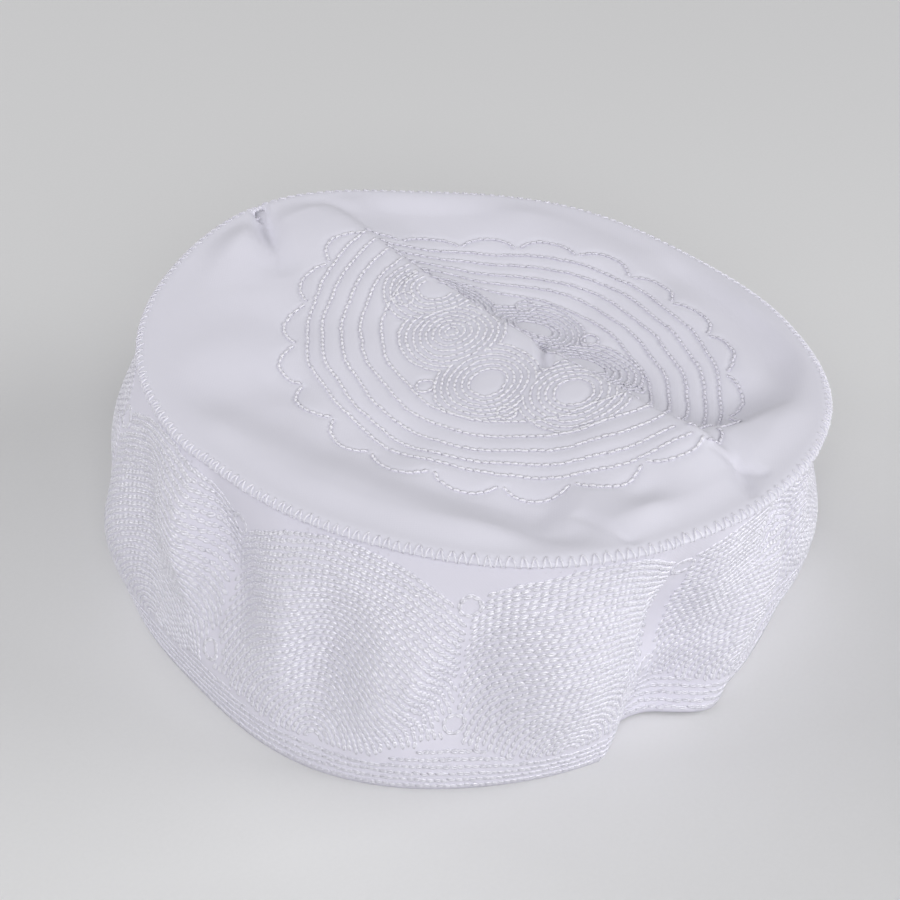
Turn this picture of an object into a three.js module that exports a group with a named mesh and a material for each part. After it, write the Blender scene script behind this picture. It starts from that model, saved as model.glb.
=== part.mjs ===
import * as THREE from 'three';
import { LoftGeometry } from 'three/addons/geometries/LoftGeometry.js';

// A soft white taqiyah lying on its rim: a flat round crown of thin cotton whose
// turned edge laps over the top of a stitched side band.
// Millimetres, +Z up. The long way of the oval runs along Y and the rim rests on z = 0.

// Cloth walls and the lapped seam
const BAND_WALL = 2.0;
const CROWN_WALL = 1.2;
const LAP_GAP = 0.35;
const LAP = 1.0;
const ROLL_HEIGHT = 1.8;
const ROLL_REACH = 3.5;

// Lie of the whole cap
const LEAN = { x: 6.6, y: -3.1 };
const BOX_CENTRE = { x: 2.9, y: -2.2 };
const CREASE_MIDDLE = { x: 15.4, y: -2.0 };
const CROWN_MIDDLE = 62.5;
const CREASE_FADE = { from: 3, to: 13 };

// Fineness of the loft
const AROUND = 144;
const FIRST_AZ = -179;
const BAND_ROWS = [0, 0.14, 0.28, 0.42, 0.56, 0.7, 0.85, 1];
const CROWN_RINGS = [0, 0.16, 0.32, 0.48, 0.63, 0.77, 0.88];
const ROLL_STEPS = [1.2, 0.5, 0.1, 0];

const table = (columns, rows) =>
  rows.map((row) => Object.fromEntries(columns.map((name, i) => [name, row[i]])));

// Sections round the cap: radius at the rim, half way up and at the seam, and the seam's height
const SECTIONS = table(['az', 'rim', 'belly', 'seam', 'height'], [
  [-180, 88.5, 89.0, 84.5, 65.0],
  [-150, 94.7, 92.0, 86.0, 65.0],
  [-120, 93.0, 92.5, 92.0, 65.0],
  [-90, 91.5, 92.0, 94.0, 64.0],
  [-60, 91.5, 91.0, 92.0, 62.5],
  [-30, 99.5, 93.5, 85.5, 59.0],
  [0, 93.5, 92.5, 84.0, 56.0],
  [30, 91.0, 92.0, 86.0, 58.5],
  [60, 90.0, 91.0, 86.0, 62.0],
  [90, 90.0, 92.0, 93.0, 66.5],
  [120, 91.0, 94.0, 91.5, 65.5],
  [150, 91.0, 94.0, 88.5, 65.5],
]);

// Folds of the band: azimuth and part of the height where each is deepest, degrees it
// leans by over the height, half widths before and after it, reach up and down, and depth
const FOLDS = table(['az', 'at', 'lean', 'before', 'after', 'reach', 'out'], [
  [178, 0.7, -22, 17, 5.5, 0.36, 6],
  [-177.5, 0.62, -9, 6, 18, 0.42, -6.5],
  [-172, 0.28, 0, 24, 20, 0.3, 1.5],
  [163, 0.6, -4, 10, 9, 0.4, -2.5],
  [154, 0.36, 0, 15, 15, 0.36, 4],
  [142, 0.72, 0, 16, 14, 0.28, 2.5],
  [140, 0.5, 0, 12, 12, 0.14, -2],
  [-163, 0.58, 0, 9, 9, 0.46, 2.5],
  [-152.5, 0.45, 0, 9, 10, 0.43, -5],
  [-141, 0.46, 22, 17, 8, 0.45, 5],
  [-131, 0.5, 0, 9, 15, 0.48, -3.5],
  [-115, 0.45, 0, 16, 11, 0.52, 5],
  [-130, 0.1, 0, 24, 20, 0.16, 1],
  [-100.5, 0, 15, 8, 15, 0.35, -8.5],
  [-100.5, 0.5, 2, 7, 10, 0.55, -8.5],
  [-93, 0.32, 0, 9, 10, 0.4, -5],
  [-86, 0.18, 9, 9, 7, 0.7, 3.5],
  [-66, 0.48, 4, 8, 12, 0.5, -11],
  [-78, 0.5, 0, 8, 6, 0.5, 3],
  [-47, 0.24, 0, 13, 17, 0.42, 4],
  [-77, 0.82, 0, 8, 8, 0.17, -5],
  [-12, 0.45, 0, 9, 20, 0.5, -4.5],
  [24, 0.45, -5, 18, 9, 0.5, 3.5],
  [40, 0.45, -5, 9, 20, 0.5, -4.5],
  [66, 0.45, 5, 18, 9, 0.5, 3.5],
  [80, 0.5, 5, 9, 18, 0.5, -4.5],
  [102, 0.45, 0, 16, 9, 0.5, 3],
  [116, 0.5, 0, 9, 14, 0.5, -4],
]);

// Where the loft's columns lean with a fold: azimuth, half width, height of no shift, lean
const GRAIN = table(['az', 'half', 'at', 'lean'], [
  [-95, 40, 0.25, 15],
  [172, 40, 0.52, -14],
]);

// The one stretch of rim that stands clear of the ground
const RIM_LIFT = { az: -92, half: 16, up: 1.2 };

// Creases of the crown: each runs from one point to another in the plan, with its height
// at both, its half widths to the left and right of the way, and how far its ends fade
const CREASES = table(['x0', 'y0', 'out0', 'x1', 'y1', 'out1', 'left', 'right', 'ends'], [
  [17, 75, 1.5, 14, -71, 4, 5.5, 24, 14],
  [15, 66, 2, 13, -66, 3.5, 22, 52, 30],
  [36, 66, -1.6, 37, -56, -7.2, 36, 23, 18],
  [22, -70, 1.5, 52, -84, 2.2, 12, 20, 10],
  [5, 95, -4, -9, 64, -1, 6, 7, 8],
  [-14, 60, -1.5, -38, 22, -1.5, 12, 12, 14],
  [-10, 90, 4, -22, 60, 0.5, 12, 18, 14],
  [30, 88, 2, 30, 66, 0, 12, 9, 10],
  [19, 92, -3, 21, 68, 0, 7, 8, 8],
  [-50, 20, -2.5, -26, -68, -4, 26, 20, 22],
  [-70, 6, 1, -48, -66, 2.4, 18, 16, 18],
  [-23, -71, 2.6, -17, -83, 2.3, 15, 13, 10],
  [-2, -66, -0.8, -6, -75, -1.1, 14, 12, 10],
  [8, -83, 1, -8, -85, 1, 12, 10, 9],
  [24, -72, -0.5, 16, -90, -1.6, 5, 7, 6],
  [84, 6, -1, 70, -54, -3.5, 8, 14, 16],
  [92, 0, 1.5, 80, -48, 3, 9, 9, 14],
  [60, 40, 1.5, 70, 10, 1, 18, 18, 18],
]);

const radians = THREE.MathUtils.degToRad;
const mix = THREE.MathUtils.lerp;
const between = THREE.MathUtils.clamp;
const halfTurn = (az) => THREE.MathUtils.euclideanModulo(az + 180, 360) - 180;

// A smooth bump that is 1 in the middle and level with 0 from one half width out
const hump = (d) => (Math.abs(d) < 1 ? (1 - d * d) ** 2 : 0);

// Value of one column of the sections at an azimuth, on a cubic through the rows round the cap
function around(az, column) {
  const count = SECTIONS.length;
  const step = 360 / count;
  const place = (halfTurn(az) - SECTIONS[0].az) / step;
  const row = Math.floor(place);
  const t = place - row;
  const at = (k) => SECTIONS[(row + k + count) % count][column];
  const slope0 = (at(1) - at(-1)) / 2;
  const slope1 = (at(2) - at(0)) / 2;
  const rise = at(1) - at(0);
  return at(0) + t * (slope0 + t * (3 * rise - 2 * slope0 - slope1 + t * (slope0 + slope1 - 2 * rise)));
}

// Radius of the band's outer face at a part w of the way from rim to seam
function bandRadius(az, w) {
  const seam = around(az, 'seam') - CROWN_WALL - LAP_GAP;
  let radius = around(az, 'rim') * (1 - w) * (1 - 2 * w);
  radius += around(az, 'belly') * 4 * w * (1 - w) + seam * w * (2 * w - 1);
  for (const fold of FOLDS) {
    const off = halfTurn(az - fold.az - fold.lean * (w - fold.at));
    const side = off < 0 ? fold.before : fold.after;
    radius += fold.out * hump(off / side) * hump((w - fold.at) / fold.reach);
  }
  return radius;
}

// Point of the band's outer face, w of the way from rim to seam
function bandPoint(az, w) {
  const lift = RIM_LIFT.up * hump(halfTurn(az - RIM_LIFT.az) / RIM_LIFT.half);
  const radius = bandRadius(az, w);
  const angle = radians(az);
  return new THREE.Vector3(
    LEAN.x * w + radius * Math.cos(angle) - BOX_CENTRE.x,
    LEAN.y * w + radius * Math.sin(angle) - BOX_CENTRE.y,
    mix(lift, around(az, 'height'), w),
  );
}

// Point of the band's inner face, one wall behind the outer one; level with it at both edges
function bandInnerPoint(az, w) {
  const alongRim = bandPoint(az + 0.5, w).sub(bandPoint(az - 0.5, w));
  const upWall = bandPoint(az, Math.min(1, w + 0.02)).sub(bandPoint(az, Math.max(0, w - 0.02)));
  const out = alongRim.cross(w === 0 || w === 1 ? new THREE.Vector3(0, 0, 1) : upWall);
  return bandPoint(az, w).addScaledVector(out.normalize(), -BAND_WALL);
}

// The band's hidden top edge, straight above its seam line inside the crown's lap
const toTopEdge = (point) => point.setZ(point.z + LAP - LAP_GAP);

// Azimuth that a column of the band's loft has come to, w of the way up
function leaning(az, w) {
  let at = az;
  for (const grain of GRAIN) {
    at += grain.lean * (w - grain.at) * hump(halfTurn(az - grain.az) / grain.half);
  }
  return at;
}

// Height that the creases add at a point of the crown's plan
function creaseHeight(x, y) {
  let height = 0;
  for (const crease of CREASES) {
    const way = new THREE.Vector2(crease.x1 - crease.x0, crease.y1 - crease.y0);
    const length = way.length();
    way.normalize();
    const from = new THREE.Vector2(x - crease.x0, y - crease.y0);
    const along = way.dot(from);
    const aside = way.cross(from);
    const beyond = Math.max(0, -along, along - length) / crease.ends;
    const out = mix(crease.out0, crease.out1, between(along / length, 0, 1));
    height += out * hump(aside / (aside > 0 ? crease.left : crease.right)) * hump(beyond);
  }
  return height;
}

// Length of the spoke from the edge of one skin of the crown to the middle of its crease
function crownSpoke(az, wall) {
  const edge = bandRadius(az, 1) + CROWN_WALL + LAP_GAP - wall;
  const angle = radians(az);
  const from = new THREE.Vector2(LEAN.x + edge * Math.cos(angle), LEAN.y + edge * Math.sin(angle));
  const way = new THREE.Vector2(CREASE_MIDDLE.x, CREASE_MIDDLE.y).sub(from);
  const length = way.length();
  return { from, way: way.normalize(), length };
}

// Point of one skin of the crown, wall 0 for the upper face and CROWN_WALL for the under
// face, at a distance in from that skin's own edge along its spoke
function crownPoint(az, inward, wall) {
  const spoke = crownSpoke(az, wall);
  const plan = spoke.from.clone().addScaledVector(spoke.way, inward);
  const bend = 1 - Math.min(1, inward / (ROLL_REACH - wall));
  const roll = (ROLL_HEIGHT - wall) * Math.sqrt(1 - bend * bend);
  const edgeHeight = around(az, 'height') + LAP + roll;
  const part = 1 - (inward + wall) / (spoke.length + wall);
  const fade = THREE.MathUtils.smoothstep(inward + wall, CREASE_FADE.from, CREASE_FADE.to);
  const z = mix(CROWN_MIDDLE - wall, edgeHeight, part ** 2) + fade * creaseHeight(plan.x, plan.y);
  return new THREE.Vector3(plan.x - BOX_CENTRE.x, plan.y - BOX_CENTRE.y, z);
}

// Bottom point of the crown's turned edge
function crownHemPoint(az, wall) {
  return crownPoint(az, 0, wall).setZ(around(az, 'height'));
}

// One closed ring of points round the cap, counterclockwise from above
const ring = (pointAt) =>
  Array.from({ length: AROUND }, (_, i) => pointAt(FIRST_AZ + (360 * i) / AROUND));

// Distances in from the edge at which the crown's rings lie, from the middle outwards
function crownStations(az, wall) {
  const across = crownSpoke(az, wall).length;
  const flat = CROWN_RINGS.map((part) => across * (1 - part));
  const rolled = ROLL_STEPS.map((part) => part * (ROLL_REACH - wall));
  return [...flat, ...rolled];
}

function bandGeometry() {
  const wall = (pointAt) => [
    ...BAND_ROWS.map((w) => ring((az) => pointAt(leaning(az, w), w))),
    ring((az) => toTopEdge(pointAt(leaning(az, 1), 1))),
  ];
  const outer = wall(bandPoint);
  const inner = wall(bandInnerPoint).reverse();
  return new LoftGeometry([...outer, ...inner, outer[0]]);
}

function crownGeometry() {
  const count = CROWN_RINGS.length + ROLL_STEPS.length;
  const skin = (wall) =>
    Array.from({ length: count }, (_, k) =>
      ring((az) => crownPoint(az, crownStations(az, wall)[k], wall)));
  const hems = [CROWN_WALL, 0].map((wall) => ring((az) => crownHemPoint(az, wall)));
  return new LoftGeometry([...skin(CROWN_WALL), ...hems, ...skin(0).reverse()]);
}

function piece(name, geometry, color, roughness) {
  const material = new THREE.MeshStandardMaterial({ color, roughness, metalness: 0 });
  const mesh = new THREE.Mesh(geometry, material);
  mesh.name = name;
  return mesh;
}

const cap = new THREE.Group();
cap.add(piece('crown', crownGeometry(), 0xece9f2, 0.9));
cap.add(piece('band', bandGeometry(), 0xf0eef5, 0.6));

export default cap;
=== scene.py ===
"""The looks of a soft white taqiyah: cotton cloth, chain-stitched fans, stitched crown and zig-zag seam."""

import bpy
import numpy as np
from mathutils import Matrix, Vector


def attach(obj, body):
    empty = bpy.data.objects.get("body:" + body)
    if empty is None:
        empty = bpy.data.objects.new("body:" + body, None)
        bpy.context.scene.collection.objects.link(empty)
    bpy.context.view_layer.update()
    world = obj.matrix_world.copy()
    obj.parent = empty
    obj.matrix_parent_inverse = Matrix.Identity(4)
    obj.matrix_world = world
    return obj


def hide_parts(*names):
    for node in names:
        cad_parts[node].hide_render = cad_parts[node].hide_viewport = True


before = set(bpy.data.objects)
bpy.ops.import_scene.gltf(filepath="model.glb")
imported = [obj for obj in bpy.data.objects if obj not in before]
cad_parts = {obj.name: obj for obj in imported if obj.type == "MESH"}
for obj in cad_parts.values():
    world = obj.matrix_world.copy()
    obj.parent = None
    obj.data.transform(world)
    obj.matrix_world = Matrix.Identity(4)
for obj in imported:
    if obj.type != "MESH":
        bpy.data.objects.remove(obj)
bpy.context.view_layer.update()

# Sizes of the cap in millimetres, as the solids have them
MM = 0.001
BAND_WALL = 2.0
CROWN_WALL = 1.2
LAP_GAP = 0.35
LAP = 1.0
ROLL_HEIGHT = 1.8
ROLL_REACH = 3.5
LEAN = np.array([6.6, -3.1])
BOX_CENTRE = np.array([2.9, -2.2])
CREASE_MIDDLE = np.array([15.4, -2.0])
CROWN_MIDDLE = 62.5

# How far in from the crown's edge the creases and the pleats begin and are at their full size
CREASE_FADE = (3.0, 13.0)
PLEAT_FADE = (0.0, 3.0)

# Where the rim is lifted off the ground: azimuth, half its width in degrees, height
RIM_LIFT = (-92.0, 16.0, 1.2)

# Every 30 degrees from -180: radius at the rim, at the belly and at the seam, and the seam's height
SECTION_STEP = 30
SECTIONS = np.array([
    [88.5, 89.0, 84.5, 65.0],
    [94.7, 92.0, 86.0, 65.0],
    [93.0, 92.5, 92.0, 65.0],
    [91.5, 92.0, 94.0, 64.0],
    [91.5, 91.0, 92.0, 62.5],
    [99.5, 93.5, 85.5, 59.0],
    [93.5, 92.5, 84.0, 56.0],
    [91.0, 92.0, 86.0, 58.5],
    [90.0, 91.0, 86.0, 62.0],
    [90.0, 92.0, 93.0, 66.5],
    [91.0, 94.0, 91.5, 65.5],
    [91.0, 94.0, 88.5, 65.5],
])

# Folds of the band: azimuth, place up the wall, lean, reach before, after, and up and down, how far out
FOLDS = [
    (178, 0.7, -22, 17, 5.5, 0.36, 6),
    (-177.5, 0.62, -9, 6, 18, 0.42, -6.5),
    (-172, 0.28, 0, 24, 20, 0.3, 1.5),
    (163, 0.6, -4, 10, 9, 0.4, -2.5),
    (154, 0.36, 0, 15, 15, 0.36, 4),
    (142, 0.72, 0, 16, 14, 0.28, 2.5),
    (140, 0.5, 0, 12, 12, 0.14, -2),
    (-163, 0.58, 0, 9, 9, 0.46, 2.5),
    (-152.5, 0.45, 0, 9, 10, 0.43, -5),
    (-141, 0.46, 22, 17, 8, 0.45, 5),
    (-131, 0.5, 0, 9, 15, 0.48, -3.5),
    (-115, 0.45, 0, 16, 11, 0.52, 5),
    (-130, 0.1, 0, 24, 20, 0.16, 1),
    (-100.5, 0, 15, 8, 15, 0.35, -8.5),
    (-100.5, 0.5, 2, 7, 10, 0.55, -8.5),
    (-93, 0.32, 0, 9, 10, 0.4, -5),
    (-86, 0.18, 9, 9, 7, 0.7, 3.5),
    (-66, 0.48, 4, 8, 12, 0.5, -11),
    (-78, 0.5, 0, 8, 6, 0.5, 3),
    (-47, 0.24, 0, 13, 17, 0.42, 4),
    (-77, 0.82, 0, 8, 8, 0.17, -5),
    (-12, 0.45, 0, 9, 20, 0.5, -4.5),
    (24, 0.45, -5, 18, 9, 0.5, 3.5),
    (40, 0.45, -5, 9, 20, 0.5, -4.5),
    (66, 0.45, 5, 18, 9, 0.5, 3.5),
    (80, 0.5, 5, 9, 18, 0.5, -4.5),
    (102, 0.45, 0, 16, 9, 0.5, 3),
    (116, 0.5, 0, 9, 14, 0.5, -4),
]

# Creases of the crown: start, rise there, end, rise there, reach to the left and right, fade past the ends
CREASES = [
    (17, 75, 1.5, 14, -71, 4, 5.5, 24, 14),
    (15, 66, 2, 13, -66, 3.5, 22, 52, 30),
    (36, 66, -1.6, 37, -56, -7.2, 36, 23, 18),
    (22, -70, 1.5, 52, -84, 2.2, 12, 20, 10),
    (5, 95, -4, -9, 64, -1, 6, 7, 8),
    (-14, 60, -1.5, -38, 22, -1.5, 12, 12, 14),
    (-10, 90, 4, -22, 60, 0.5, 12, 18, 14),
    (30, 88, 2, 30, 66, 0, 12, 9, 10),
    (19, 92, -3, 21, 68, 0, 7, 8, 8),
    (-50, 20, -2.5, -26, -68, -4, 26, 20, 22),
    (-70, 6, 1, -48, -66, 2.4, 18, 16, 18),
    (-23, -71, 2.6, -17, -83, 2.3, 15, 13, 10),
    (-2, -66, -0.8, -6, -75, -1.1, 14, 12, 10),
    (8, -83, 1, -8, -85, 1, 12, 10, 9),
    (24, -72, -0.5, 16, -90, -1.6, 5, 7, 6),
    (84, 6, -1, 70, -54, -3.5, 8, 14, 16),
    (92, 0, 1.5, 80, -48, 3, 9, 9, 14),
    (60, 40, 1.5, 70, 10, 1, 18, 18, 18),
]

# Sharp little pleats of the crown and one low broad rise, given as the creases are
PLEATS = [
    (7, 98, -2.6, 1.9, 86.5, -2.6, 2.0, 3.2, 3),
    (1.9, 86.5, -2.4, -8, 67, -0.4, 2.2, 4.0, 6),
    (22, -9, -2, 11, -23, -2, 3.0, 3.0, 4),
    (15, -78, -0.7, 20.5, -88, -0.8, 1.6, 3.0, 3),
    (18, -82, -0.6, 12, -92, -0.8, 3.0, 1.6, 3),
    (-24, -73, -0.5, -22.5, -86, -0.9, 3.0, 1.8, 4),
    (-34, -30, 1.2, -14, -66, 1.2, 24, 12, 14),
]

# The band's stitches in millimetres of flat cloth: a stitch's length, the wall's height, rows at the rim
STITCH = 1.72
WALL_CLOTH = 66.0
BORDER_ROWS = (1.4, 3.5, 5.6, 7.7)

# Short rows in the low corners between the fans: height, and reach to either side
CORNER_ROWS = ((9.8, 15.0), (11.9, 8.5))

# Azimuths where two fans meet, and the bare strip that each fan leaves there
FAN_EDGES_AZ = (-175, -132.3, -98.5, -66, -30, 6, 42, 77.5, 113.5, 149)
FAN_GAPS = (0.7, 0.7, 2.6, 1.2, 0.8, 0.8, 0.8, 0.8, 0.8, 0.8)
FANS = len(FAN_EDGES_AZ)

# The fan that leans: azimuth of its middle, half its width, level that stays, degrees over the wall
FAN_LEAN = (-116.0, 16.0, 0.15, 5.0)

# A fan: height of its foot, radius of its first and last row, way from row to row, turn of every other row
FAN_FOOT = 10.0
FAN_FIRST = 2.2
FAN_TOP = 54.5
FAN_ROW = 1.62
FAN_TURN = 3.0

# A fan's low edge is level for a way on either side of its foot, and rises from there
FOOT_BELOW = 0.3
FOOT_LEVEL = 12.0
FOOT_SLOPE = 0.3

# Rings between the fans: height and radius, length of a stitch, room round them, and room under the seam
LOW_RING = (19.0, 2.4)
HIGH_RING = (54.5, 2.6)
RING_STITCH = 1.8
RING_ROOM = 1.4
SEAM_ROOM = 1.6

# How far the cloth is pressed in under the stitches, and where up the wall the bare gaps begin to swell
PRESSED = 0.1
SWELL_LEVELS = (40, 50)

# How the sewing hand strays: places on the band and crown, degrees, and share of a stitch's width
WALL_STRAY = 0.12
CROWN_STRAY = 0.1
TURN_STRAY = 7
WIDTH_STRAY = 0.08

# How much a chain stitch gives way along and across where the cloth is stretched, and how deep it lies
LONG_GIVE = (0.85, 1.3)
WIDE_GIVE = (0.85, 1.25)
CHAIN_SINK = 0.3

# The seam's zig-zag: way from point to point, reach in from the edge, a leg's start and share of its space
SEAM_POINT = 2.85
SEAM_REACH = (-LAP + 0.15, 1.7)
LEG_START = 0.1
LEG_SHARE = 0.8
SEAM_RADIUS = 0.24
SEAM_SIDES = 6
SEAM_LIFT = np.array([0.0, 0.12, 0.18, 0.2, 0.18, 0.12, 0.0])
SEAM_SLOPE_STEP = 0.2

# How the zig-zag strays along the seam and across it, and the holes along it
ALONG_STRAY = 0.14
ACROSS_STRAY = 0.16
HOLE_STRAY = 0.15

# Needle holes under the seam: way from hole to hole, way below it, depth and size; and the medallion's size
SEAM_HOLE = 2.95
HOLES_BELOW = 1.8
HOLE_SINK = 0.05
SEAM_HOLE_SIZE = 0.34
MEDALLION_HOLE_SIZE = 0.32

# The medallion on flat cloth: middle, rings before the crease (shift, radius) and past it, cloth hidden
MEDALLION = np.array([25.0, -8.2])
NEAR_RINGS = ((-3.2, 40.9), (0.6, 49.4), (1.8, 55.6), (3.5, 61.8), (5.0, 66.8))
FAR_RINGS = (63.6, 59.4, 54.8, 50.2, 45.2)
FOLD_IN = 25.0

# Its scalloped edge: number of arcs, radius of the ring they stand on, their own radius, and sweep
SCALLOPS = 24
SCALLOP_RING = 60.5
SCALLOP_RADIUS = 9.6
SCALLOP_SWEEP = 112.0

# Its rosettes and buds, as places from its middle; only the first rosette has the inner rings
ROSETTES = np.array([(-22.0, 12.8), (-28.2, -9.0), (-18.5, -30.2), (-11.0, 30.5),
                     (27.0, -13.8), (28.2, 8.7), (14.0, 27.5), (9.0, -29.5)])
ROSETTE_RINGS = (14.2, 12.4, 10.6, 8.8, 7.0, 5.2)
INNER_RINGS = (3.4, 1.7)
BUDS = ((-40.6, 2.4), (-20.0, 33.8), (-33.6, -21.5), (38.5, -3.0), (36.0, 20.0), (31.0, -27.0))
BUD_RADIUS = 2.5

# Its stitches: length on large and small circles, stop before and past the crease, and beside a rosette
LARGE_STITCH = 1.85
SMALL_STITCH = 1.5
SMALL_CIRCLE = 4
STOP_BEFORE = 0.4
STOP_PAST = 1.2
STOP_BESIDE = 0.5
THREAD_LIFT = 0.12

# Tones of its thread: the dullest, the spread above it, and how much darker it is painted past the crease,
# as painted shade where the crown dips away from the light
TONE_LOW = 0.75
TONE_SPREAD = 0.25
SHADE_PAST = 0.45

# The groove that its stitches pull into the cloth: depth, width, fade beside the crease, way off with none
GROOVE_DEPTH = 0.35
GROOVE_WIDTH = 1.4
GROOVE_FADE = (0.5, 3.0)
NO_GROOVE = 9.0

# Columns and rows of points in the cloth, and the step that its slopes are measured over
COLUMNS = 480
WALL_ROWS = 67
LINING_ROWS = 23
HEM_ROWS = 4
ROLL_ROWS = 9
CROWN_ROWS = 150
UNDER_ROWS = 20
SLOPE_STEP = 0.3

# Thickness of the rim's fold, and the hem below the crown's edge: its last row and how far it tucks in
RIM_FOLD = 1.5
HEM_TOP = -0.2
HEM_TUCK = 1.8

# A move along the first measure of a stitch, which is its middle (two), its direction (two) and its length
ALONG = np.array([1.0, 0, 0, 0, 0])
rng = np.random.default_rng(11)


# Shapes of the cap
def hump(d):
    """One at d = 0 and nothing from d = 1 on either side: the square of (1 - d squared)."""
    return np.where(np.abs(d) < 1, (1 - d * d) ** 2, 0.0)


def wrap(degrees):
    """The same angle between -180 and 180."""
    return np.mod(degrees + 180, 360) - 180


def mix(a, b, t):
    """Straight blend from a to b."""
    return a + (b - a) * t


def smooth(x, start, end):
    """Eased step: nothing before start, one after end."""
    t = np.clip((x - start) / (end - start), 0, 1)
    return t * t * (3 - 2 * t)


def unit(v):
    """Vectors of length one."""
    return v / np.maximum(np.linalg.norm(v, axis=-1, keepdims=True), 1e-9)


def section(az, column):
    """A column of SECTIONS at azimuth az, as a closed cubic curve through its rows."""
    v = SECTIONS[:, column]
    rows = len(v)
    k = np.mod(az + 180, 360) / SECTION_STEP
    i = np.floor(k).astype(int) % rows
    t = k - np.floor(k)
    a, b, c, d = v[(i - 1) % rows], v[i], v[(i + 1) % rows], v[(i + 2) % rows]
    m, n = (c - a) / 2, (d - b) / 2
    return b + m * t + (3 * (c - b) - 2 * m - n) * t ** 2 + (2 * (b - c) + m + n) * t ** 3


def band_radius(az, w):
    """Radius of the band: a parabola up the wall through rim, belly and seam, plus the folds."""
    rim = section(az, 0)
    belly = section(az, 1)
    top = section(az, 2) - CROWN_WALL - LAP_GAP
    r = rim * (1 - w) * (1 - 2 * w) + belly * 4 * w * (1 - w) + top * w * (2 * w - 1)
    for fold_az, at, lean, before, after, reach, out in FOLDS:
        off = wrap(az - fold_az - lean * (w - at))
        r = r + out * hump(off / np.where(off < 0, before, after)) * hump((w - at) / reach)
    return r


def band_at(az, w):
    """Point of the band's outer face: azimuth az, share w of the way from rim to seam."""
    a = np.radians(az)
    r = band_radius(az, w)
    lift_az, lift_half, lift_up = RIM_LIFT
    lift = lift_up * hump(wrap(az - lift_az) / lift_half)
    x = LEAN[0] * w + r * np.cos(a) - BOX_CENTRE[0]
    y = LEAN[1] * w + r * np.sin(a) - BOX_CENTRE[1]
    return np.stack([x, y, mix(lift, section(az, 3), w)], -1)


def crease_height(x, y, creases):
    """Sum of the creases: each a ridge or trough along a line, fading to its sides and past its ends."""
    z = np.zeros(np.broadcast(x, y).shape)
    for x0, y0, out0, x1, y1, out1, left, right, ends in creases:
        length = np.hypot(x1 - x0, y1 - y0)
        way = ((x1 - x0) / length, (y1 - y0) / length)
        along = (x - x0) * way[0] + (y - y0) * way[1]
        aside = way[0] * (y - y0) - way[1] * (x - x0)
        past = np.maximum(0, np.maximum(-along, along - length))
        rise = mix(out0, out1, np.clip(along / length, 0, 1))
        z = z + rise * hump(aside / np.where(aside > 0, left, right)) * hump(past / ends)
    return z


def ripple(x, y):
    """Soft waves of loose cloth: three slow sine waves that cross each other, each bent by a slower one."""
    a = np.sin((0.5 * x + y) / 5.2 + 1.4 * np.sin(x / 17 + 0.6))
    b = np.sin((x - 0.35 * y) / 6.1 + 1.2 * np.sin(y / 14 + 2.1))
    c = np.sin((0.8 * x - y) / 3.7 + 1.6 * np.sin((x + y) / 19))
    return 0.16 * a + 0.16 * b + 0.08 * c


def crown_edge(az, wall=0.0):
    """Plan of the crown's edge: just outside the band at the seam."""
    a = np.radians(az)
    r = band_radius(az, np.ones_like(az)) + CROWN_WALL + LAP_GAP - wall
    return np.stack([LEAN[0] + r * np.cos(a), LEAN[1] + r * np.sin(a)], -1)


def crown_height(az, inward, spoke, x, y, wall=0.0):
    """Height of the crown: a rolled edge, blended by a square law to the middle, plus the creases."""
    bend = 1 - np.clip(inward / (ROLL_REACH - wall), 0, 1)
    roll = (ROLL_HEIGHT - wall) * np.sqrt(np.clip(1 - bend ** 2, 0, 1))
    edge = section(az, 3) + LAP + roll
    part = 1 - (inward + wall) / (spoke + wall)
    fade = smooth(inward + wall, *CREASE_FADE)
    shape = mix(CROWN_MIDDLE - wall, edge, part ** 2) + fade * crease_height(x, y, CREASES)
    small = crease_height(x, y, PLEATS) * smooth(inward, *PLEAT_FADE) + ripple(x, y) * fade
    return shape + small


def crown_spoke(az, inward, wall=0.0):
    """Point of the crown a way inward from its edge, along its spoke; below nothing it lies on the hem."""
    edge = crown_edge(az, wall)
    to_middle = CREASE_MIDDLE - edge
    spoke = np.linalg.norm(to_middle, axis=-1)
    tuck = HEM_TUCK * (np.minimum(inward, 0) / LAP) ** 2
    plan = edge + to_middle / spoke[..., None] * (np.maximum(inward, 0) + tuck)[..., None]
    z = crown_height(az, np.maximum(inward, 0), spoke, plan[..., 0], plan[..., 1], wall)
    z = z + np.minimum(inward, 0)
    return np.concatenate([plan - BOX_CENTRE, z[..., None]], -1)


# The crown's edge every eighth of a degree, and the direction it lies in from the middle of the crease
EDGE_AZ = np.linspace(-180, 180, 2881)
EDGE_PLAN = crown_edge(EDGE_AZ) - CREASE_MIDDLE
EDGE_TURN = np.degrees(np.unwrap(np.arctan2(EDGE_PLAN[:, 1], EDGE_PLAN[:, 0])))


def crown_over(x, y):
    """Point of the crown over plan place x, y: finds the spoke through it, then its height."""
    from_middle = np.stack([x, y], -1) - CREASE_MIDDLE
    turn = np.degrees(np.arctan2(from_middle[..., 1], from_middle[..., 0]))
    turn = EDGE_TURN[0] + np.mod(turn - EDGE_TURN[0], 360)
    az = np.interp(turn, EDGE_TURN, EDGE_AZ)
    spoke = np.linalg.norm(crown_edge(az) - CREASE_MIDDLE, axis=-1)
    inward = spoke - np.linalg.norm(from_middle, axis=-1)
    z = crown_height(az, inward, spoke, x, y) - stitch_groove(x, y)
    return np.stack([x - BOX_CENTRE[0], y - BOX_CENTRE[1], z], -1)


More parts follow.
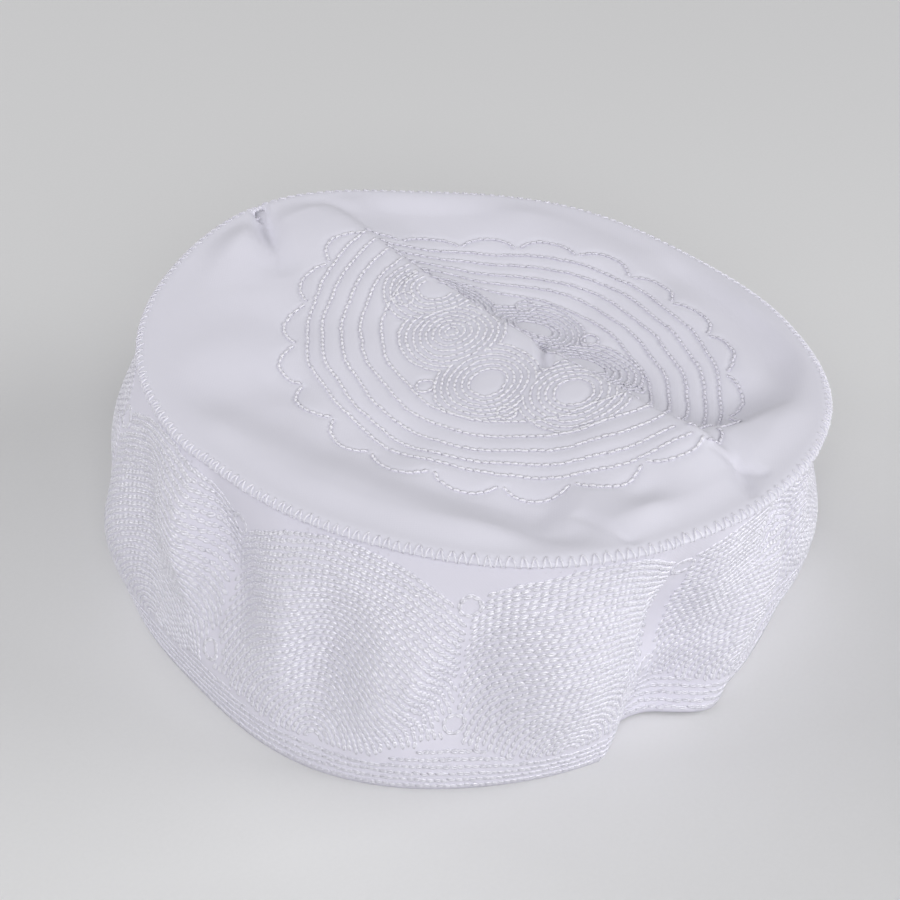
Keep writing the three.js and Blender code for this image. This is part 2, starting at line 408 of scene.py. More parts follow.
# The cloth's own measure: u millimetres round the wall, v millimetres up it
TURN_AZ = np.linspace(-180, 180, 1441)
TURN_ROWS = np.array([0.1, 0.3, 0.5, 0.7, 0.9])
TURN_POINTS = band_at(TURN_AZ[:, None], TURN_ROWS[None, :])
TURN_STEPS = np.linalg.norm(np.diff(TURN_POINTS, axis=0), axis=-1).mean(1)
TURN_U = np.concatenate([[0.0], np.cumsum(TURN_STEPS)])
ROUND = TURN_U[-1]
FAN_EDGES = np.interp(FAN_EDGES_AZ, TURN_AZ, TURN_U)
FAN_WIDTHS = np.diff(np.append(FAN_EDGES, FAN_EDGES[0] + ROUND))


def az_of(u):
    """Azimuth of the cloth that lies u millimetres round the wall."""
    return np.interp(np.mod(u, ROUND), TURN_U, TURN_AZ)


def wall_at(u, v):
    """Point of the band's face at cloth place u, v; one fan leans sideways as it goes up."""
    az = az_of(u)
    w = v / WALL_CLOTH
    middle, half, level, lean = FAN_LEAN
    return band_at(az + lean * (w - level) * hump(wrap(az - middle) / half), w)


def surface_frame(surface, a, b):
    """Point of a surface at a, b, its slopes along a and along b, and its outward direction."""
    e = SLOPE_STEP
    a_way = (surface(a + e, b) - surface(a - e, b)) / (2 * e)
    b_way = (surface(a, b + e) - surface(a, b - e)) / (2 * e)
    return surface(a, b), a_way, b_way, unit(np.cross(a_way, b_way))


# Pattern of the crown's medallion
def circle_line(cx, cy, r, pitch, start=0.0, sweep=360.0):
    """Stitches round a circle or part of one: middle of each, its direction, and its length."""
    count = max(3, int(round(np.radians(sweep) * r / pitch)))
    a = np.radians(start + (np.arange(count) + 0.5) * sweep / count)
    length = np.full(count, np.radians(sweep) * r / count)
    return np.stack([cx + r * np.cos(a), cy + r * np.sin(a), -np.sin(a), np.cos(a), length], -1)


def whole_circles(x, y, radii, side=0):
    """Whole circles about one middle, as medallion_circles gives them."""
    return [(x, y, r, 0.0, 360.0, side) for r in radii]


def medallion_circles():
    """Every line of the medallion as a circle on the flat cloth: its middle, radius, first angle and sweep.

    The last value is its side of the crease: -1 before it, 1 past it, 0 on both sides.
    """
    cx, cy = MEDALLION
    circles = []
    for shift, r in NEAR_RINGS:
        circles += whole_circles(cx + shift, cy, [r], -1)
    circles += whole_circles(cx, cy, FAR_RINGS, 1)
    for a in np.radians(np.arange(SCALLOPS) * 360 / SCALLOPS):
        x = cx + SCALLOP_RING * np.cos(a)
        y = cy + SCALLOP_RING * np.sin(a)
        circles.append((x, y, SCALLOP_RADIUS, np.degrees(a) - SCALLOP_SWEEP / 2, SCALLOP_SWEEP, 0))
    for x, y in ROSETTES:
        circles += whole_circles(cx + x, cy + y, ROSETTE_RINGS)
    x, y = ROSETTES[0]
    circles += whole_circles(cx + x, cy + y, INNER_RINGS)
    for x, y in BUDS:
        circles += whole_circles(cx + x, cy + y, [BUD_RADIUS])
    return circles


MEDALLION_CIRCLES = medallion_circles()


def past_crease(x, y):
    """How far x, y lies past the crown's main crease, on the side where the crown dips."""
    x0, y0, _, x1, y1 = CREASES[0][:5]
    return x - mix(x0, x1, (y - y0) / (y1 - y0))


def by_hand(x, y):
    """How far the hand strays from the drawn line at x, y: slow waves along and across."""
    return np.stack([0.55 * np.sin(y / 7.3 + 1.1) + 0.3 * np.sin((x + y) / 3.9),
                     0.55 * np.sin(x / 8.1 + 0.4) + 0.3 * np.sin((x - y) / 4.3 + 2.0)], -1)


def stitch_groove(x, y):
    """How far the stitches pull the cloth down: a soft groove along every circle of the medallion."""
    past = past_crease(x, y)
    stray = by_hand(x, y)
    x = x - stray[..., 0] + FOLD_IN * (past > 0)
    y = y - stray[..., 1]
    near = np.full(np.shape(x), NO_GROOVE)
    for cx, cy, r, start, sweep, side in MEDALLION_CIRCLES:
        from_line = np.abs(np.hypot(x - cx, y - cy) - r)
        from_line = np.where(past * side < 0, NO_GROOVE, from_line)
        if sweep < 360:
            turn = wrap(np.degrees(np.arctan2(y - cy, x - cx)) - start - sweep / 2)
            from_line = np.where(np.abs(turn) < sweep / 2, from_line, NO_GROOVE)
        near = np.minimum(near, from_line)
    return GROOVE_DEPTH * np.exp(-((near / GROOVE_WIDTH) ** 2)) * smooth(np.abs(past), *GROOVE_FADE)


# Making the meshes
def grid_faces(rows, columns):
    """Faces between the rows of a closed grid: each joins two neighbours of a row to the two above."""
    i, j = np.meshgrid(np.arange(rows - 1), np.arange(columns), indexing="ij")
    k = (j + 1) % columns
    here = i * columns
    above = here + columns
    return np.stack([here + j, here + k, above + k, above + j], -1).reshape(-1, 4)


def closing_faces(rows, columns):
    """Faces that join the last row of a closed grid to its first."""
    j = np.arange(columns)
    k = (j + 1) % columns
    last = (rows - 1) * columns
    return np.stack([j + last, k + last, k, j], -1)


def make_piece(name, points, faces, material, node, corners=(), cloth=None, tone=None):
    """One object from points in millimetres and faces with four corners, or three as a second array."""
    quads = np.asarray(faces, np.int32).reshape(-1, 4)
    threes = np.asarray(corners, np.int32).reshape(-1, 3)
    loops = np.concatenate([quads.ravel(), threes.ravel()])
    starts = np.concatenate([np.arange(len(quads)) * 4, 4 * len(quads) + np.arange(len(threes)) * 3])
    mesh = bpy.data.meshes.new(name)
    mesh.vertices.add(len(points))
    mesh.vertices.foreach_set("co", (np.asarray(points) * MM).astype(np.float32).ravel())
    mesh.loops.add(len(loops))
    mesh.loops.foreach_set("vertex_index", loops.astype(np.int32))
    mesh.polygons.add(len(starts))
    mesh.polygons.foreach_set("loop_start", starts.astype(np.int32))
    mesh.polygons.foreach_set("use_smooth", np.ones(len(starts), bool))
    if cloth is not None:
        layer = mesh.uv_layers.new(name="cloth")
        layer.data.foreach_set("uv", np.asarray(cloth, np.float32).ravel())
    if tone is not None:
        layer = mesh.attributes.new("tone", "FLOAT", "POINT")
        layer.data.foreach_set("value", np.asarray(tone, np.float32))
    mesh.update(calc_edges=True)
    mesh.validate()
    mesh.materials.append(material)
    piece = bpy.data.objects.new(name, mesh)
    bpy.context.scene.collection.objects.link(piece)
    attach(piece, "root")
    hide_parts(node)
    return piece


def corner_places(places, faces, around):
    """Cloth places at the faces' corners; the last column goes on past the join, not back to nothing."""
    at = places[faces]
    back = (at[..., 0].max(1, keepdims=True) - at[..., 0]) > around / 2
    at[..., 0] = at[..., 0] + around * back
    return at * MM


# Shapes of the stitches, in millimetres: along the row, across it and out of the cloth
def tube_faces(rows, sides, closed=False):
    """Faces of a thread made of rings, with flat ends unless it is closed, and its UV.

    The UV is how far along the thread and how far round it a face's corner lies, as shares.
    """
    spans = rows if closed else rows - 1
    faces = grid_faces(spans + 1, sides) % (rows * sides)
    i = np.repeat(np.arange(spans), sides)
    j = np.tile(np.arange(sides), spans)
    steps = ((0, 0), (0, 1), (1, 1), (1, 0))
    twist = np.stack([np.stack([i + on, j + up], -1) for on, up in steps], 1) / np.array([spans, sides])
    if not closed:
        k = 2 * np.arange(1, sides // 2)
        cap = np.stack([0 * k, k - 1, k, k + 1], -1)
        faces = np.concatenate([faces, cap[:, ::-1], cap + (rows - 1) * sides])
        twist = np.concatenate([twist, np.zeros((2 * len(cap), 4, 2))])
    return faces, twist


def thread_tube(line, radius, sides, closed, flat):
    """A thread along a line of points: at each a ring across the way, flattened out of the cloth."""
    if closed:
        way = unit(np.roll(line, -1, 0) - np.roll(line, 1, 0))
    else:
        way = unit(np.gradient(line, axis=0))
    across = unit(np.cross([0.0, 0.0, 1.0], way))
    upward = np.cross(way, across)
    a = np.arange(sides) * 2 * np.pi / sides + np.pi / sides
    size = np.broadcast_to(radius, (len(line),))[:, None, None]
    ring = np.cos(a)[None, :, None] * across[:, None] + flat * np.sin(a)[None, :, None] * upward[:, None]
    points = (line[:, None] + size * ring).reshape(-1, 3)
    return points, *tube_faces(len(line), sides, closed)


def chain_loop():
    """One chain stitch: a drop-shaped loop, narrow where it starts and round where the next holds it."""
    x = STITCH * np.array([-0.5, -0.22, 0.26, 0.55, 0.26, -0.22])
    y = np.array([0.0, 0.22, 0.3, 0.0, -0.3, -0.22])
    z = np.array([0.02, 0.16, 0.22, 0.1, 0.22, 0.16])
    return thread_tube(np.stack([x, y, z], -1), radius=0.4, sides=4, closed=True, flat=0.9)


def back_stitch():
    """One short straight stitch: a thread that rises out of one needle hole and goes down into the next."""
    x = np.array([-0.4, -0.3, 0.0, 0.3, 0.4])
    z = np.array([-0.1, 0.08, 0.16, 0.08, -0.1])
    radius = np.array([0.26, 0.4, 0.44, 0.4, 0.26])
    return thread_tube(np.stack([x, 0 * x, z], -1), radius, sides=4, closed=False, flat=0.7)


def needle_hole(size):
    """A needle hole: a small eight-sided dish with its middle sunk into the cloth."""
    corner = 0.72 * size
    x = np.array([-corner, 0, corner, -size, 0, size, -corner, 0, corner])
    y = np.array([-corner, -size, -corner, 0, 0, 0, corner, size, corner])
    z = np.array([0.05, 0.05, 0.05, 0.05, -0.08, 0.05, 0.05, 0.05, 0.05])
    faces = np.array([[0, 1, 4, 3], [1, 2, 5, 4], [3, 4, 7, 6], [4, 5, 8, 7]])
    return np.stack([x, y, z], -1), faces, np.zeros((4, 4, 2))


def set_stitches(shape, at, way, out, long=1.0, wide=1.0):
    """Copies of one stitch shape: at each place, along its way, standing out of the cloth."""
    points, faces, twist = shape
    count = len(at)
    way = unit(way - out * np.sum(way * out, -1, keepdims=True))
    across = np.cross(out, way)
    long = np.broadcast_to(long, (count,))[:, None]
    wide = np.broadcast_to(wide, (count,))[:, None]
    all_points = (at[:, None] + (points[:, 0] * long)[..., None] * way[:, None]
                  + (points[:, 1] * wide)[..., None] * across[:, None] + points[:, 2, None] * out[:, None])
    all_faces = faces[None] + (np.arange(count) * len(points))[:, None, None]
    all_twist = np.tile(twist.reshape(-1, 2), (count, 1))
    tone = np.repeat(rng.random(count), len(points))
    return all_points.reshape(-1, 3), all_faces.reshape(-1, 4), all_twist, tone


# Layout of the band's stitches
def fan_rows(width, before, after):
    """One fan: rows of stitches on circles about its foot, cut off at its sides, foot and rings."""
    rows = []
    for k, r in enumerate(np.arange(FAN_FIRST, FAN_TOP + 0.1, FAN_ROW)):
        rows.append(circle_line(0.0, FAN_FOOT, r, STITCH, start=FAN_TURN * (k % 2), sweep=180.0))
    s = np.concatenate(rows)
    side = np.abs(s[:, 0])
    keep = (s[:, 0] > before - width / 2) & (s[:, 0] < width / 2 - after)
    keep &= s[:, 1] > FAN_FOOT - FOOT_BELOW + FOOT_SLOPE * np.maximum(0, side - FOOT_LEVEL)
    keep &= s[:, 1] < WALL_CLOTH - SEAM_ROOM
    for v, r in (LOW_RING, HIGH_RING):
        keep &= np.hypot(side - width / 2, s[:, 1] - v) > r + RING_ROOM
    return s[keep]


def straight_line(v, start, length, shift):
    """Stitches along a level row of the band: middle of each, its direction, and its length."""
    count = int(round(length / STITCH))
    u = start + (np.arange(count) + shift) * length / count
    return np.stack([u, 0 * u + v, 0 * u + 1, 0 * u, 0 * u + length / count], -1)


def border_rows():
    """Straight rows along the rim, and short rows that fill the low corners between the fans."""
    lines = []
    for v in BORDER_ROWS:
        lines.append(straight_line(v, 0.0, ROUND, 0.5 * (v > BORDER_ROWS[0])))
    for v, reach in CORNER_ROWS:
        line = straight_line(v, -reach, 2 * reach, 0.5)
        for edge in FAN_EDGES:
            lines.append(line + ALONG * edge)
    return np.concatenate(lines)


def ring_rows():
    """The small rings between the fans: one low and one high at each meeting of two fans."""
    lines = []
    for edge in FAN_EDGES:
        for v, r in (LOW_RING, HIGH_RING):
            lines.append(circle_line(edge, v, r, RING_STITCH))
    return np.concatenate(lines)


def sew_wall(name, lines, material):
    """Chain stitches on the band along lines given in cloth places."""
    count = len(lines)
    lines = lines + np.concatenate([rng.normal(0, WALL_STRAY, (count, 2)), np.zeros((count, 3))], 1)
    at, round_way, up_way, out = surface_frame(wall_at, lines[:, 0], lines[:, 1])
    way = lines[:, 2, None] * round_way + lines[:, 3, None] * up_way
    across = lines[:, 2, None] * up_way - lines[:, 3, None] * round_way
    way = way + across * np.tan(np.radians(rng.normal(0, TURN_STRAY, (count, 1))))
    long = np.clip(np.linalg.norm(way, axis=-1), *LONG_GIVE) * lines[:, 4] / STITCH
    wide = np.clip(np.linalg.norm(across, axis=-1), *WIDE_GIVE) * rng.normal(1, WIDTH_STRAY, count)
    at = at - CHAIN_SINK * out
    points, faces, twist, tone = set_stitches(chain_loop(), at, way, out, long, wide)
    make_piece(name, points, faces, material, "band", cloth=twist, tone=tone)


def sew_holes(name, places, size, material, node):
    """Needle holes at the places, ways and outward directions given."""
    at, way, out = places
    points, faces, twist, tone = set_stitches(needle_hole(size), at, way, out)
    make_piece(name, points, faces, material, node, cloth=twist, tone=tone)


# Materials: bumps in metres and strengths, and scale and detail of the noises
BUMP_DEPTH = 0.0001
WEAVE_PITCH = 0.00045
WEAVE_BUMP = 0.06
PLY_BUMP = 0.35
SLUB = (260.0, 3.0)
MOTTLE = (55.0, 4.0)
GRAIN = (900.0, 2.0)


def node_of(tree, kind, values=(), **settings):
    """A shader node with its settings, and with values for its inputs by name."""
    made = tree.nodes.new(kind)
    for key, value in settings.items():
        setattr(made, key, value)
    for key, value in dict(values).items():
        made.inputs[key].default_value = value
    return made


def maths(tree, operation, *given):
    """Output of a calculation on numbers or on other nodes' outputs."""
    made = node_of(tree, "ShaderNodeMath", operation=operation)
    for socket, value in zip(made.inputs, given):
        if isinstance(value, bpy.types.NodeSocket):
            tree.links.new(value, socket)
        else:
            socket.default_value = value
    return made.outputs[0]


def noise(tree, places, scale, detail):
    """Output of soft noise over places in metres."""
    made = node_of(tree, "ShaderNodeTexNoise", {"Scale": scale, "Detail": detail})
    tree.links.new(places, made.inputs["Vector"])
    return made.outputs[0]


def effect(name, given, results):
    """An empty node group: the tree, and its start and end, with the inputs and float outputs named."""
    group = bpy.data.node_groups.new(name, "ShaderNodeTree")
    for socket, kind in given.items():
        group.interface.new_socket(socket, in_out="INPUT", socket_type=kind)
    for socket in results:
        group.interface.new_socket(socket, in_out="OUTPUT", socket_type="NodeSocketFloat")
    return group, node_of(group, "NodeGroupInput"), node_of(group, "NodeGroupOutput")


def weave_group():
    """Plain weave: threads over and under each other, the product of a sine along x and one along y."""
    group, start, end = effect("plain weave", {"Cloth": "NodeSocketVector"}, ("Thread", "Slub"))
    scale = node_of(group, "ShaderNodeVectorMath", {"Scale": np.pi / WEAVE_PITCH}, operation="SCALE")
    parts = node_of(group, "ShaderNodeSeparateXYZ")
    group.links.new(start.outputs["Cloth"], scale.inputs[0])
    group.links.new(scale.outputs[0], parts.inputs[0])
    along = maths(group, "SINE", parts.outputs["X"])
    across = maths(group, "SINE", parts.outputs["Y"])
    group.links.new(maths(group, "MULTIPLY", along, across), end.inputs["Thread"])
    group.links.new(noise(group, start.outputs["Cloth"], *SLUB), end.inputs["Slub"])
    return group


def twist_group():
    """Twisted plies: a wave that winds round the thread as it goes along, from the thread's own UV."""
    sockets = {"Thread": "NodeSocketVector", "Turns": "NodeSocketFloat"}
    group, start, end = effect("twisted plies", sockets, ("Ply",))
    parts = node_of(group, "ShaderNodeSeparateXYZ")
    group.links.new(start.outputs["Thread"], parts.inputs[0])
    wind = maths(group, "MULTIPLY_ADD", parts.outputs["X"], start.outputs["Turns"], parts.outputs["Y"])
    angle = maths(group, "MULTIPLY", wind, 2 * np.pi)
    group.links.new(maths(group, "SINE", angle), end.inputs["Ply"])
    return group


def new_material(name, values):
    """A material with values for its shader's inputs: the material, its node tree and its shader."""
    material = bpy.data.materials.new(name)
    material.use_nodes = True
    shader = material.node_tree.nodes["Principled BSDF"]
    for key, value in values.items():
        shader.inputs[key].default_value = value
    return material, material.node_tree, shader


def tinted(tree, shader, light, shade, share):
    """Gives a shader a colour between two tints, by the share that an output gives."""
    tint = node_of(tree, "ShaderNodeMix", {"A": (*shade, 1), "B": (*light, 1)}, data_type="RGBA")
    tree.links.new(share, tint.inputs["Factor"])
    tree.links.new(tint.outputs["Result"], shader.inputs["Base Color"])


def bumped(tree, shader, height, strength):
    """Gives a shader a fine bump, by the height that an output gives."""
    bump = node_of(tree, "ShaderNodeBump", {"Strength": strength, "Distance": BUMP_DEPTH})
    tree.links.new(height, bump.inputs["Height"])
    tree.links.new(bump.outputs[0], shader.inputs["Normal"])


def cotton(name, light, shade):
    """Matte plain-woven cotton: two close whites mixed by mottling and slubs, and the bump of the weave."""
    material, tree, shader = new_material(name, {
        "Roughness": 0.88,
        "Sheen Weight": 0.15,
        "Sheen Roughness": 0.5,
        "Specular IOR Level": 0.25,
    })
    places = node_of(tree, "ShaderNodeUVMap", uv_map="cloth")
    woven = node_of(tree, "ShaderNodeGroup", node_tree=plain_weave)
    tree.links.new(places.outputs[0], woven.inputs["Cloth"])
    mottle = noise(tree, places.outputs[0], *MOTTLE)
    slub = maths(tree, "MULTIPLY", woven.outputs["Slub"], 0.5)
    tinted(tree, shader, light, shade, maths(tree, "MULTIPLY_ADD", mottle, 0.5, slub))
    bumped(tree, shader, woven.outputs["Thread"], WEAVE_BUMP)
    return material


def thread(name, light, shade, rough, turns, silk=0.0):
    """Twisted thread: two whites mixed stitch by stitch, the bump of its plies, and some silky shine."""
    material, tree, shader = new_material(name, {
        "Roughness": rough,
        "Specular IOR Level": 0.5,
        "Metallic": silk,
        "Sheen Weight": 0.1,
    })
    tone = node_of(tree, "ShaderNodeAttribute", attribute_name="tone")
    tinted(tree, shader, light, shade, tone.outputs["Fac"])
    places = node_of(tree, "ShaderNodeUVMap", uv_map="cloth")
    plies = node_of(tree, "ShaderNodeGroup", {"Turns": turns}, node_tree=twisted_plies)
    tree.links.new(places.outputs[0], plies.inputs["Thread"])
    bumped(tree, shader, plies.outputs["Ply"], PLY_BUMP)
    return material


plain_weave = weave_group()
twisted_plies = twist_group()
crown_cotton = cotton("crown cotton", (0.759, 0.749, 0.834), (0.733, 0.723, 0.807))
band_cotton = cotton("band cotton", (0.74, 0.725, 0.815), (0.71, 0.695, 0.785))
rayon = thread("rayon chain thread", (0.855, 0.845, 0.92), (0.785, 0.775, 0.85), 0.3, 3.0, 0.2)
# The rim's thread is darker than the fans' thread as painted shade of the lowest rows by the floor
shaded_rim_thread = thread("shaded rim chain thread", (0.79, 0.78, 0.855), (0.73, 0.72, 0.795), 0.3, 3.0, 0.2)
seam_thread = thread("white seam thread", (0.83, 0.82, 0.89), (0.77, 0.76, 0.835), 0.35, 4.0)
# The medallion thread's darker tint is mostly painted shade for the stitches past the crease; before the
# crease the tone only varies at random near the lighter tint
medallion_thread = thread("medallion thread", (0.88, 0.87, 0.93), (0.65, 0.635, 0.73), 0.35, 4.0)
hole_shadow = thread("shaded needle holes", (0.70, 0.685, 0.76), (0.61, 0.595, 0.67), 0.95, 1.0)


# The band's cloth
def band_face(u, v):
    """The band's outer face: the wall, pressed in where the stitches cover it, full in the bare gaps."""
    at, _, _, out = surface_frame(wall_at, u, v)
    fan = np.searchsorted(FAN_EDGES, u, side="right") - 1
    in_fan = np.mod(u - FAN_EDGES[fan], ROUND) - FAN_WIDTHS[fan] / 2
    stitched = np.hypot(in_fan, np.maximum(v - FAN_FOOT, 0)) < FAN_TOP + 1
    bare = np.where(stitched, 0.0, PRESSED) * smooth(v, *SWELL_LEVELS)
    return at + out * (bare - PRESSED)[..., None], out


def make_band():
    """The band as a closed shell: outer face from seam to rim, round the rim's fold, inner face back up."""
    level = np.array([1, 1, 0])
    u = np.arange(COLUMNS) * ROUND / COLUMNS
    v_out = np.linspace(WALL_CLOTH, 0.0, WALL_ROWS)
    outer, out = band_face(*np.meshgrid(u, v_out))
    v_in = np.linspace(0.0, WALL_CLOTH, LINING_ROWS)
    at, _, _, way = surface_frame(wall_at, *np.meshgrid(u, v_in))
    inner = at - BAND_WALL * way
    inner[0] = outer[-1] - RIM_FOLD * unit(out[-1] * level)
    inner[-1] = outer[0] - BAND_WALL * unit(out[0] * level)
    points = np.concatenate([outer, inner])
    rows = len(points)
    faces = np.concatenate([grid_faces(rows, COLUMNS), closing_faces(rows, COLUMNS)])[:, ::-1]
    places = np.stack(np.meshgrid(u, np.concatenate([v_out, v_in])), -1).reshape(-1, 2)
    return make_piece("band_cloth", points.reshape(-1, 3), faces, band_cotton, "band",
                      cloth=corner_places(places, faces, ROUND))


# The crown's cloth
def make_crown():
    """The crown as a closed shell: up the hem, over the edge, in to the crease, back underneath."""
    az = az_of(np.arange(COLUMNS) * ROUND / COLUMNS)
    reach = np.linalg.norm(crown_edge(az) - CREASE_MIDDLE, axis=-1)
    hem = np.linspace(-LAP, HEM_TOP, HEM_ROWS)
    roll = ROLL_REACH * (1 - np.cos(np.linspace(0, np.pi / 2, ROLL_ROWS)))
    share = 1 - np.linspace(1, 0, CROWN_ROWS)[1:-1]
    top = [crown_spoke(az, np.full(COLUMNS, s)) for s in np.concatenate([hem, roll])]
    top += [crown_spoke(az, mix(ROLL_REACH, reach, s)) for s in share]
    top = np.array(top)
    groove = stitch_groove(top[..., 0] + BOX_CENTRE[0], top[..., 1] + BOX_CENTRE[1])
    inside = np.arange(len(top)) > len(hem) + len(roll)
    top[..., 2] = top[..., 2] - groove * inside[:, None]
    reach_in = np.linalg.norm(crown_edge(az, CROWN_WALL) - CREASE_MIDDLE, axis=-1)
    share_in = np.linspace(0, 1, UNDER_ROWS)[:-1]
    under = np.array([crown_spoke(az, reach_in * s, CROWN_WALL) for s in share_in[::-1]])
    hem_under = under[-1].copy()
    hem_under[:, 2] = top[0][:, 2]
    grid = np.concatenate([top, under, hem_under[None]])
    middle = crown_over(CREASE_MIDDLE[0:1], CREASE_MIDDLE[1:2])[0]
    below = middle - np.array([0, 0, CROWN_WALL])
    points = np.concatenate([grid.reshape(-1, 3), middle[None], below[None]])
    first = len(top) * COLUMNS
    last = first - COLUMNS
    faces = grid_faces(len(top), COLUMNS)
    faces_under = grid_faces(len(under) + 1, COLUMNS) + first
    quads = np.concatenate([faces, faces_under, closing_faces(len(grid), COLUMNS)])
    j = np.arange(COLUMNS)
    k = (j + 1) % COLUMNS
    pole = np.full(COLUMNS, len(grid) * COLUMNS)
    corners = np.concatenate([np.stack([j + last, k + last, pole], -1),
                              np.stack([k + first, j + first, pole + 1], -1)])
    places = points[:, :2] * MM
    cloth = np.concatenate([places[quads].reshape(-1, 2), places[corners].reshape(-1, 2)])
    return make_piece("crown_cloth", points, quads, crown_cotton, "crown",
                      corners=corners, cloth=cloth)


# The crown's stitches and the seam
def sew_medallion():
    """Back stitches along every circle of the medallion; gives the places of their needle holes."""
    lines = []
    flowers = MEDALLION + ROSETTES
    for cx, cy, r, start, sweep, side in MEDALLION_CIRCLES:
        line = circle_line(cx, cy, r, LARGE_STITCH if r > SMALL_CIRCLE else SMALL_STITCH, start, sweep)
        if r in ROSETTE_RINGS:
            away = np.linalg.norm(line[:, None, :2] - flowers, axis=-1).min(1)
            line = line[away > r - STOP_BESIDE]
        past = past_crease(line[:, 0], line[:, 1])
        near = line[(past < -STOP_BEFORE) & (side < 1)]
        far = line[(past > FOLD_IN + STOP_PAST) & (side > -1)]
        lines += [near, far - ALONG * FOLD_IN]
    lines = np.concatenate(lines)
    count = len(lines)
    stray = by_hand(lines[:, 0], lines[:, 1])
    lines[:, :2] = lines[:, :2] + stray + rng.normal(0, CROWN_STRAY, (count, 2))
    at, x_way, y_way, out = surface_frame(crown_over, lines[:, 0], lines[:, 1])
    way = lines[:, 2, None] * x_way + lines[:, 3, None] * y_way
    at = at + out * THREAD_LIFT
    wide = rng.normal(1, WIDTH_STRAY, count)
    points, faces, uv, tone = set_stitches(back_stitch(), at, way, out, lines[:, 4], wide)
    # Stitches past the crease are painted darker: painted shade of the side that dips away from the light
    shaded_past_crease = past_crease(lines[:, 0], lines[:, 1]) > 0
    tone = TONE_LOW + TONE_SPREAD * tone - np.repeat(SHADE_PAST * shaded_past_crease, len(tone) // count)
    make_piece("medallion_stitches", points, faces, medallion_thread, "crown",
               cloth=uv, tone=tone)
    ends = lines[:, :2] + lines[:, 2:4] * lines[:, 4:5] / 2
    at, x_way, y_way, out = surface_frame(crown_over, ends[:, 0], ends[:, 1])
    return at + out * THREAD_LIFT, lines[:, 2, None] * x_way + lines[:, 3, None] * y_way, out


def sew_seam():
    """The zig-zag, a thread up and down over the crown's edge; gives the places of the holes below."""
    count = 2 * int(round(ROUND / SEAM_POINT))
    rows = len(SEAM_LIFT)
    leg = np.arange(count)
    q = np.linspace(0, 1, rows)
    along = (leg[:, None] + LEG_START + LEG_SHARE * q[None, :]) / count * ROUND
    along = along + rng.normal(0, ALONG_STRAY, (count, 1))
    rise = np.where(leg[:, None] % 2 == 0, q[None, :], 1 - q[None, :])
    inward = mix(*SEAM_REACH, rise) + rng.normal(0, ACROSS_STRAY, (count, 1))
    az = az_of(along)
    e = SEAM_SLOPE_STEP
    round_way = crown_spoke(az + e, inward) - crown_spoke(az - e, inward)
    in_way = crown_spoke(az, inward + e) - crown_spoke(az, inward - e)
    out = unit(np.cross(round_way, in_way))
    line = crown_spoke(az, inward) + out * SEAM_LIFT[None, :, None]
    way = unit(np.gradient(line, axis=1))
    across = unit(np.cross(out, way))
    a = np.arange(SEAM_SIDES) * 2 * np.pi / SEAM_SIDES
    ring = np.cos(a)[:, None] * across[:, :, None] + np.sin(a)[:, None] * out[:, :, None]
    points = line[:, :, None] + SEAM_RADIUS * ring
    faces, uv = tube_faces(rows, SEAM_SIDES)
    per = rows * SEAM_SIDES
    all_faces = faces[None] + (leg * per)[:, None, None]
    tone = np.repeat(rng.random(count), per)
    make_piece("seam_zigzag", points.reshape(-1, 3), all_faces.reshape(-1, 4), seam_thread,
               "crown", cloth=np.tile(uv.reshape(-1, 2), (count, 1)), tone=tone)
    holes = int(round(ROUND / SEAM_HOLE))
    u = np.arange(holes) * ROUND / holes + rng.normal(0, HOLE_STRAY, holes)
    at, way, _, out = surface_frame(wall_at, u, np.full(holes, WALL_CLOTH - HOLES_BELOW))
    return at - HOLE_SINK * out, way, out


# Sewing the cap together, two fans to a piece
crown = make_crown()
band = make_band()
for pair in range(FANS // 2):
    both = []
    for k in (2 * pair, 2 * pair + 1):
        fan = fan_rows(FAN_WIDTHS[k], FAN_GAPS[k], FAN_GAPS[(k + 1) % FANS])
        both.append(fan + ALONG * (FAN_EDGES[k] + FAN_WIDTHS[k] / 2))
    sew_wall("fan_stitches_%d" % (pair + 1), np.concatenate(both), rayon)
sew_wall("rim_stitches", border_rows(), shaded_rim_thread)
sew_wall("ring_stitches", ring_rows(), rayon)
sew_holes("medallion_needle_holes", sew_medallion(), MEDALLION_HOLE_SIZE, hole_shadow,
          "crown")
sew_holes("seam_needle_holes", sew_seam(), SEAM_HOLE_SIZE, hole_shadow, "band")

# Floor, in metres, and its two greys
FLOOR_RADIUS = 1.6
FLOOR_SIDES = 96
FLOOR_LIGHT = (0.76, 0.76, 0.768)
FLOOR_SHADE = (0.735, 0.735, 0.743)

# Lights: size, place as right, away and up in the picture, in metres, power in watts, and the even glow
LIGHT_SIZE = 1.4
LIGHTS = (
    ("front light", (0.0, -2.0, 1.5), 33.0),
    ("right light", (2.14, -0.06, 1.12), 24.4),
    ("left light", (-2.1, 0.0, 1.2), 12.8),
    ("back left light", (-1.6, 1.5, 1.4), 16.4),
    ("front right light", (1.5, -1.7, 1.0), 10.4),
)
LIGHT_AIM = np.array([0, 0, 0.03])
GLOW = 0.095

# Camera: degrees round and above, metres from the middle of the rim, lens, shift in the picture's pixels
VIEW_ROUND = -41
VIEW_ABOVE = 39.5
VIEW_FROM = 0.53
SENSOR = 36
FOCAL = 75
PICTURE = 900
SHIFT = (-4, 93)


# Making the floor, the light and the camera
def photo_way(x, y, z):
    """A direction given as right, away and up in the picture, turned into the cap's own axes."""
    a = np.radians(VIEW_ROUND)
    return np.array([x * np.cos(a) - y * np.sin(a), x * np.sin(a) + y * np.cos(a), z])


def aimed(name, data, at, way):
    """A light or camera at a place, looking along a direction."""
    made = bpy.data.objects.new(name, data)
    made.location = at
    made.rotation_mode = "QUATERNION"
    made.rotation_quaternion = Vector(way).to_track_quat("-Z", "Y")
    bpy.context.scene.collection.objects.link(made)
    return made


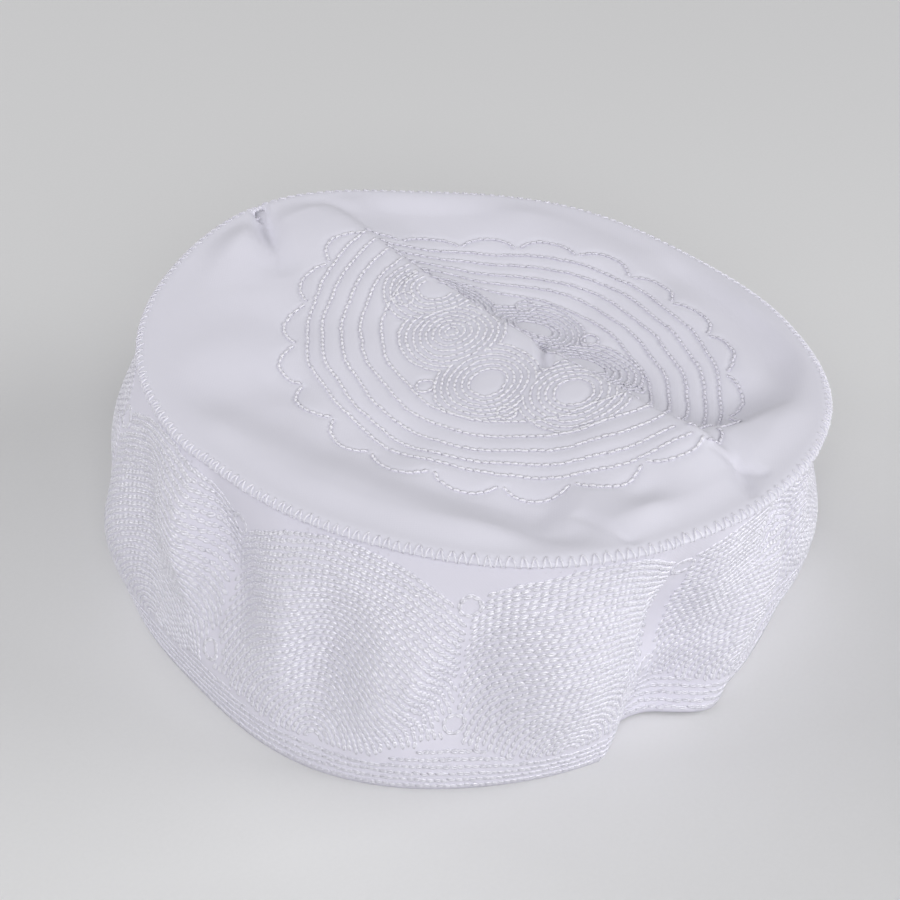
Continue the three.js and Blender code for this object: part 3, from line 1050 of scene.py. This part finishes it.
def pale_floor():
    """A wide level disc under the cap, in plain pale grey with a faint grain."""
    material, tree, shader = new_material("pale floor", {"Roughness": 0.9, "Specular IOR Level": 0.1})
    places = node_of(tree, "ShaderNodeTexCoord")
    tinted(tree, shader, FLOOR_LIGHT, FLOOR_SHADE, noise(tree, places.outputs["Object"], *GRAIN))
    a = np.arange(FLOOR_SIDES) * 2 * np.pi / FLOOR_SIDES
    edge = FLOOR_RADIUS * np.stack([np.cos(a), np.sin(a), 0 * a], -1)
    mesh = bpy.data.meshes.new("floor")
    mesh.from_pydata(edge.tolist(), [], [tuple(range(FLOOR_SIDES))])
    mesh.materials.append(material)
    floor = bpy.data.objects.new("floor", mesh)
    bpy.context.scene.collection.objects.link(floor)


def soft_light(name, place, power):
    """A square soft light at a place given as in the picture, aimed at the cap."""
    lamp = bpy.data.lights.new(name, "AREA")
    lamp.size = LIGHT_SIZE
    lamp.energy = power
    at = photo_way(*place)
    aimed(name, lamp, at, LIGHT_AIM - at)


def pale_room():
    """A faint even light from all round, and a pale backdrop where the camera looks past the floor."""
    world = bpy.data.worlds.new("soft room")
    world.use_nodes = True
    tree = world.node_tree
    glow = tree.nodes["Background"]
    glow.inputs["Color"].default_value = (1.0, 1.0, 1.0, 1)
    glow.inputs["Strength"].default_value = GLOW
    backdrop = node_of(tree, "ShaderNodeBackground", {"Color": (0.78, 0.78, 0.785, 1)})
    seen = node_of(tree, "ShaderNodeLightPath")
    either = node_of(tree, "ShaderNodeMixShader")
    tree.links.new(seen.outputs["Is Camera Ray"], either.inputs[0])
    tree.links.new(glow.outputs[0], either.inputs[1])
    tree.links.new(backdrop.outputs[0], either.inputs[2])
    tree.links.new(either.outputs[0], tree.nodes["World Output"].inputs["Surface"])
    bpy.context.scene.world = world


def picture_camera():
    """The camera, on the side the picture was taken from, looking at the middle of the rim."""
    lens = bpy.data.cameras.new("camera")
    lens.sensor_width = SENSOR
    lens.lens = FOCAL
    lens.shift_x = SHIFT[0] / PICTURE
    lens.shift_y = SHIFT[1] / PICTURE
    lens.clip_start = 0.05
    rim_middle = np.array([-BOX_CENTRE[0], -BOX_CENTRE[1], 0]) * MM
    above = np.radians(VIEW_ABOVE)
    back = photo_way(0, -np.cos(above), np.sin(above))
    bpy.context.scene.camera = aimed("camera", lens, rim_middle + VIEW_FROM * back, -back)


pale_floor()
for light in LIGHTS:
    soft_light(*light)
pale_room()
bpy.context.scene.view_settings.view_transform = "Standard"
picture_camera()
